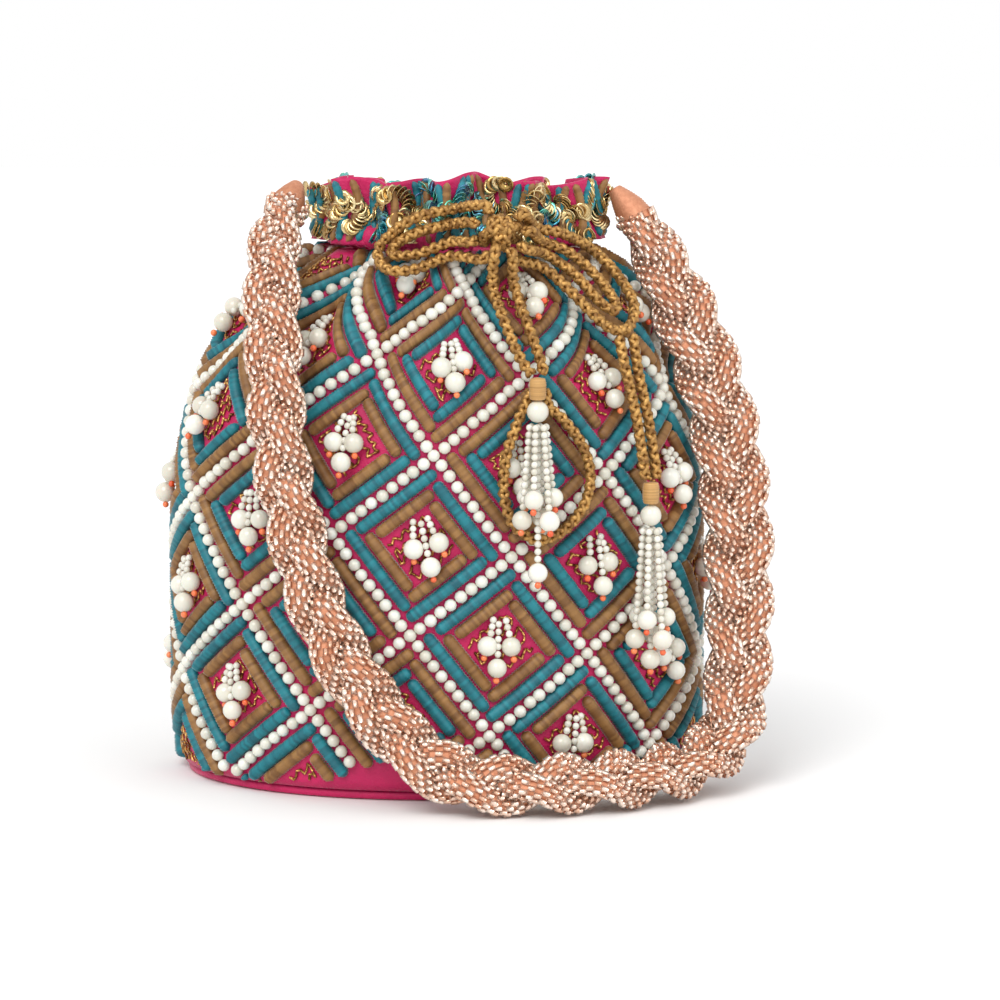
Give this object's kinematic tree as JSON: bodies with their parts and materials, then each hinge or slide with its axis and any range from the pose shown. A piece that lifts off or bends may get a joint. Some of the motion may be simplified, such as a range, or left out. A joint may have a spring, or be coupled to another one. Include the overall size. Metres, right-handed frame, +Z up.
{
  "type": "potli bag",
  "caption": "Embroidered drawstring potli pouch with a gathered frill, a bow with pearl tassels and a plaited bead handle.",
  "frame": {"origin": "middle of the pouch's foot, on the surface it stands on", "axes": "+Z up, -Y towards the front of the bag, +X to the right as seen from the front"},
  "size_m": [0.1906, 0.1519, 0.192],
  "materials": {
    "embroidery": "thread-wrapped cords and pearls sewn on satin",
    "magenta": "dull satin",
    "gold_cord": "knitted metallic yarn",
    "binding": "wound cotton thread",
    "rose_gold": "crocheted glass beads",
    "pearl": "pearlised"
  },
  "bodies": {
    "root": {"base_panel": "magenta", "bow_knot": "gold_cord", "bow_left_inner_loop": "gold_cord", "bow_left_outer_loop": "gold_cord", "bow_right_inner_loop": "gold_cord", "bow_right_outer_loop": "gold_cord", "drawstring_channel": "magenta", "drawstring_in_channel": "gold_cord", "embroidered_panel": "embroidery", "frill": "magenta", "front_tail_end_loop": "gold_cord", "front_tail_left_strand": "gold_cord", "front_tail_right_strand": "gold_cord", "front_tassel_binding": "binding", "front_tassel_string_1": "pearl", "front_tassel_string_2": "pearl", "front_tassel_string_3": "pearl", "front_tassel_string_4": "pearl", "front_tassel_string_5": "pearl", "front_tassel_string_6": "pearl", "front_tassel_string_7": "pearl", "front_tassel_top_pearl": "pearl", "handle_left_end": "rose_gold", "handle_plait": "rose_gold", "handle_right_end": "rose_gold", "lining": "magenta", "side_tail_left_strand": "gold_cord", "side_tail_right_strand": "gold_cord", "side_tassel_binding": "binding", "side_tassel_string_1": "pearl", "side_tassel_string_2": "pearl", "side_tassel_string_3": "pearl", "side_tassel_string_4": "pearl", "side_tassel_string_5": "pearl", "side_tassel_string_6": "pearl", "side_tassel_string_7": "pearl", "side_tassel_top_pearl": "pearl"}
  },
  "joints": []
}
